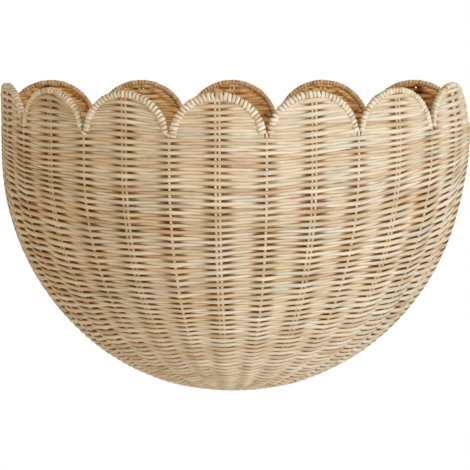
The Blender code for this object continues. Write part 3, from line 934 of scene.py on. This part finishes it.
def rimTree(values):
    graph, inputs = newTree("bound_rim", values)

    def chance(low, high, shift):
        sockets = {"Min": low, "Max": high, "Seed": inputs["Seed"] + shift}
        return graph.node("FunctionNodeRandomValue", {"data_type": "FLOAT"}, sockets, 1)

    def circle(sides, radius):
        return graph.shape("CurvePrimitiveCircle", {"Resolution": sides, "Radius": radius})

    curve = graph.shape("MeshToCurve", {"Mesh": inputs["Geometry"]})
    sockets = {"Curve": curve, "Length": inputs["Pitch"]}
    points, tangent = graph.node("GeometryNodeCurveToPoints", {"mode": "LENGTH"}, sockets, None)[:2]
    points = graph.store(points, "tangent", tangent)
    settings = {"primary_axis": "Z", "secondary_axis": "X"}
    axes = {0: graph.named("tangent"), 1: graph.named("wallNormal")}
    facing = graph.node("FunctionNodeAxesToRotation", settings, axes)
    lean = (inputs["Lean"] + chance(-1.0, 1.0, 0.0) * inputs["Uneven Lean"]) * (math.pi / 180)
    tilt = graph.node("FunctionNodeAxisAngleToRotation", {}, {"Axis": (1, 0, 0), "Angle": lean})
    facing = graph.node("FunctionNodeRotateRotation", {"rotation_space": "LOCAL"}, {0: facing, 1: tilt})
    size = 1.0 + chance(-1.0, 1.0, 3.0) * inputs["Uneven Size"]

    # one stroke: a flat strand round the band
    position = graph.node("GeometryNodeInputPosition")
    x, y, z = graph.split(position)
    squareX, squareY = (
        graph.maths("SIGN", v) * graph.maths("POWER", graph.maths("ABSOLUTE", v), inputs["Squareness"])
        for v in (x, y)
    )
    band = graph.vector(
        squareX * ((inputs["Band Thickness"] - inputs["Thickness"]) * 0.5),
        squareY * ((inputs["Band Depth"] - inputs["Thickness"]) * 0.5),
        0.0,
    )
    ring = circle(binding["bandSides"], 1.0)
    ring = graph.shape("SetPosition", {"Geometry": ring, "Position": band})
    profile = circle(binding["strokeSides"], inputs["Thickness"] * 0.5)
    stroke = graph.shape("CurveToMesh", {"Curve": ring, "Profile Curve": profile})
    widen = graph.vector(1.0, 1.0, inputs["Width"] / inputs["Thickness"])
    stroke = graph.shape("Transform", {"Geometry": stroke, "Scale": widen})
    lengthwise = graph.vector(graph.maths("ARCTAN2", y, x) * binding["fibreTurn"], z, 0.0)
    stroke = graph.store(stroke, "fibre", lengthwise)
    stroke = graph.store(stroke, "recess", 0.0)
    sizes = graph.vector(size, size, size)
    sockets = {"Points": points, "Instance": stroke, "Rotation": facing, "Scale": sizes}
    strokes = graph.shape("InstanceOnPoints", sockets)
    strokes = graph.store(strokes, "strand", chance(0.0, 1.0, 5.0), "INSTANCE")
    strokes = graph.shape("RealizeInstances", {0: strokes})
    shift = graph.vector(graph.named("strand") * binding["fibreShift"], 0.0, 0.0)
    strokes = graph.store(strokes, "fibre", graph.named("fibre") + shift)

    # the hoop under them, darkened with painted shade between the strokes
    inside = inputs["Band Thickness"] - inputs["Thickness"] * binding["hoopInset"]
    inside = circle(binding["hoopSides"], inside * 0.5)
    hoop = graph.shape("CurveToMesh", {"Curve": curve, "Profile Curve": inside, "Fill Caps": True})
    hoop = graph.store(hoop, "fibre", position)
    hoop = graph.store(hoop, "recess", inputs["Hoop Shade"])
    both = graph.tree.nodes.new("GeometryNodeJoinGeometry")
    for wire in (hoop, strokes):
        graph.link(wire, both.inputs[0])
    return finishTree(graph, Wire(graph, both.outputs[0]), inputs["Material"])


def rimValues(sizes, number, material):
    return {
        **valuesOf(sizes, "Pitch", "Thickness", "Band Thickness"),
        **valuesOf(binding, "Squareness", "Lean", "Uneven Lean", "Uneven Size"),
        "Width": sizes["widths"][number],
        "Band Depth": sizes["depths"][number],
        "Hoop Shade": sizes["gaps"][number],
        "Seed": binding["seed"] + number,
        "Material": material,
    }


# points of either wall, with the directions out of it and along it
def frontEdge(s, z):
    across = unit(along(s, planS, planTangents))
    return bowed(s, z - bottomZ), bowedNormal(s, z - bottomZ), across


def backEdge(x, z):
    points = np.stack([x, np.full_like(x, wallY), z], -1)
    return points, repeated((0, 1, 0), len(x)), repeated((1, 0, 0), len(x))


rims = rimTree(rimValues(binding["front"], 0, bindingRattan))
for wallName, place, stations, halfBay, material in (
    ("front", frontEdge, frontStations, frontHalfBay, bindingRattan),
    ("back", backEdge, backStations, backHalfBay, backShadedBindingRattan),
):
    sizes = binding[wallName]
    for number, centre in enumerate(stations[1::2]):
        offsets, heights, outward = rimLine(halfBay, sizes["depths"][number])
        points, normals, across = place(centre + offsets, heights)
        ups = unit(outward[:, :1] * across + outward[:, 1:] * np.array([[0, 0, 1.0]]))
        guides = Guides()
        guides.add(points, normals, ups, 0.0, sizes["pitch"], 1.0, 0.0, random.random())
        label = f"{wallName}_scallop_{number + 1}"
        rim = runTree(rims, guides, f"{label}_bound_rim", rimValues(sizes, number, material))
        dress(rim, "rim", f"{label}_rim")
print("rims bound")


# stakes: single rods that fan out of the bottom, a pair up each scallop and one at each valley
stake = {
    "diameter": 0.0021,
    "pairPitch": 0.0029,
    "steps": 26,
    "uprightSteps": 7,
    "lowest": 0.001,
    "fanLift": 0.010,  # of the back's rows in the middle, over the corners
    "stub": 0.0088,  # of a valley's stake, up between the rims' legs
    "underHole": -0.0030,  # where a pair ends under a hanging hole
    "wobble": 0.10,
}
stakeLow, stakeHighest = (corner[2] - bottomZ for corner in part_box("front_scallop_4_stake_left"))
baseAngle = math.acos(1 - max(stakeLow + stake["diameter"] / 2, stake["lowest"]) / bowlHeight)
stakeAngles = np.linspace(baseAngle, math.pi / 2, stake["steps"])


def layStakes(stations, line):
    guides = Guides()
    for number, station in enumerate(stations[1:-1], 1):
        pair = number % 2 == 1
        for offset in (-0.5, 0.5) if pair else (0.0,):
            rod = line(station, offset * stake["pairPitch"], pair)
            guides.add(*rod, 0.0, stake["diameter"], 1.0, 0.0, random.random())
    return guides


def upright(low, high):
    return np.linspace(low, high, stake["uprightSteps"] + 1)[1:]


def frontStakeLine(station, offset, pair):
    top = stakeHighest if pair else shoulderZ + stake["stub"] - bottomZ
    heights = np.append(bowlHeight * (1 - np.cos(stakeAngles)), upright(bowlHeight, top))
    run = station + offset / spreadAt(heights)
    return frontEdge(run, heights + bottomZ)


def backStakeLine(station, offset, pair):
    top = stakeHighest + bottomZ if pair else shoulderZ + stake["stub"]
    if pair and abs(station) > 3 * backHalfBay:
        top = stake["underHole"]
    lean = math.sqrt(1 - (station / halfWidth) ** 2)
    cornerHeights = bowlHeight * (1 - np.cos(stakeAngles))
    middleHeights = (bowlHeight + stake["fanLift"]) * stakeAngles / (math.pi / 2)
    z = bottomZ + cornerHeights + (middleHeights - cornerHeights) * lean
    x = np.append(station * np.sin(stakeAngles), np.full(stake["uprightSteps"], station))
    points, normals, _ = backEdge(x, np.append(z, upright(z[-1], top)))
    onward = unit(np.gradient(points, axis=0))
    across = np.stack([onward[:, 2], np.zeros_like(x), -onward[:, 0]], -1)
    return points + across * offset, normals, across


stakeValues = {
    **weftValues,
    "Thickness": stake["diameter"],
    "Height At Crossing": 1.0,
    "Wobble": stake["wobble"],
    "Material": stakeRattan,
}
for side, stations, line in (("front", frontStations, frontStakeLine), ("back", backStations, backStakeLine)):
    nodes = [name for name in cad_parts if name.startswith(side) and "stake" in name]
    piece = runTree(strands, layStakes(stations, line), f"{side}_stakes", stakeValues)
    dress(piece, "stake", *nodes)


# the end of a strand that shows across two of the front's valleys
tie = {
    "reaches": {4: 0.0022, 6: 0.0042},  # half of each one's length, by its valley's station
    "points": 7,
    "aside": 0.0008,
    "up": 0.0014,
    "slope": 0.0011,
    "swing": 1.35,
    "taper": 0.9,
    "pitch": 0.0014,
    "thickness": 0.5,
}


def valleyTies():
    guides = Guides()
    share = np.linspace(-1, 1, tie["points"])
    swing = tie["swing"] * np.sqrt(1 - tie["taper"] * share**4)
    for station, reach in tie["reaches"].items():
        s = frontStations[station] + tie["aside"] + reach * share
        points, normals, _ = frontEdge(s, fullTop + tie["up"] - tie["slope"] * share)
        ups = repeated((0, 0, 1), tie["points"])
        guides.add(points, normals, ups, swing, tie["pitch"], tie["thickness"], 0.0, random.random())
    values = {**weftValues, "Material": bindingRattan}
    dress(runTree(strands, guides, "front_valley_ties", values), "rim")


valleyTies()


def cornerRodPiece():
    # the rod along the corner, thin under the turns of the weft
    angles = np.linspace(0, math.pi / 2, 40)
    right = [(halfWidth * math.sin(a), wallY, bottomZ + bowlHeight * (1 - math.cos(a))) for a in angles]
    right += [(halfWidth, wallY, shoulderZ), (halfWidth, wallY, shoulderZ + stake["stub"])]
    places = bellied(np.array([(-x, y, z) for x, y, z in right[:0:-1]] + right))
    curve = bpy.data.curves.new("corner_rod", "CURVE")
    curve.dimensions = "3D"
    curve.bevel_depth = turn["rod"]
    curve.bevel_resolution = 2
    curve.use_fill_caps = True
    spline = curve.splines.new("POLY")
    spline.points.add(len(places) - 1)
    for point, place in zip(spline.points, places):
        point.co = (*place, 1)
    spline.use_smooth = True
    drawn = linked("corner_rod_line", curve)
    mesh = bpy.data.meshes.new_from_object(drawn.evaluated_get(bpy.context.evaluated_depsgraph_get()))
    bpy.data.objects.remove(drawn)
    corners = np.empty(len(mesh.vertices) * 3, np.float32)
    mesh.vertices.foreach_get("co", corners)
    mesh.attributes.new("fibre", "FLOAT_VECTOR", "POINT").data.foreach_set("vector", corners)
    mesh.materials.clear()
    mesh.materials.append(stakeRattan)
    return linked("corner_rod", mesh)


dress(cornerRodPiece(), "corner_rod", "corner_frame_rod")
print("stakes and corner rod placed")


# a pale floor well below, plain white round about, and soft light from the right
studio = {
    "floorDrop": 0.75,
    "floorSize": 3.0,
    "floorColour": (0.86, 0.86, 0.85, 1),
    "floorRoughness": 0.8,
    "ambient": (1.0, 0.86, 0.68, 1),
    "ambientStrength": 0.54,
    "aim": (0, -0.06, -0.10),
    "lamps": {  # place, size, power and colour
        "key_light": ((1.82, -1.46, 0.35), 1.1, 43, (0.85, 1.0, 1.21)),
        "fill_light": ((-1.1, -2.1, -0.3), 1.4, 13, (1.0, 0.90, 0.79)),
    },
}


def buildStudio():
    for name, (place, *looks) in studio["lamps"].items():
        data = bpy.data.lights.new(name, "AREA")
        data.size, data.energy, data.color = looks
        made = linked(name, data)
        made.location = place
        aim = Vector(studio["aim"]) - Vector(place)
        made.rotation_euler = aim.to_track_quat("-Z", "Y").to_euler()

    world = bpy.data.worlds.new("white_room")
    world.use_nodes = True
    bpy.context.scene.world = world
    graph = Graph(world.node_tree)
    background = world.node_tree.nodes["Background"].inputs
    kinds = ("Is Camera Ray", "Is Glossy Ray", "Is Transmission Ray")
    camera, glossy, through = (graph.node("ShaderNodeLightPath", out=kind) for kind in kinds)
    seen = graph.maths("MAXIMUM", graph.maths("MAXIMUM", camera, glossy), through)
    graph.link(graph.mixColour(seen, studio["ambient"], (1, 1, 1, 1)), background["Color"])
    graph.link(graph.blend(seen, studio["ambientStrength"], 1.0), background["Strength"])

    half = studio["floorSize"] / 2
    level = rodLow[2] - studio["floorDrop"]
    mesh = bpy.data.meshes.new("pale_floor")
    corners = [(-half, -half, level), (half, -half, level), (half, half, level), (-half, half, level)]
    mesh.from_pydata(corners, [], [(0, 1, 2, 3)])
    material, surface = newMaterial("pale_floor")
    surface["Base Color"].default_value = studio["floorColour"]
    surface["Roughness"].default_value = studio["floorRoughness"]
    mesh.materials.append(material)
    linked("pale_floor", mesh)


buildStudio()
bpy.context.scene.view_settings.view_transform = "Standard"
print("studio lit")
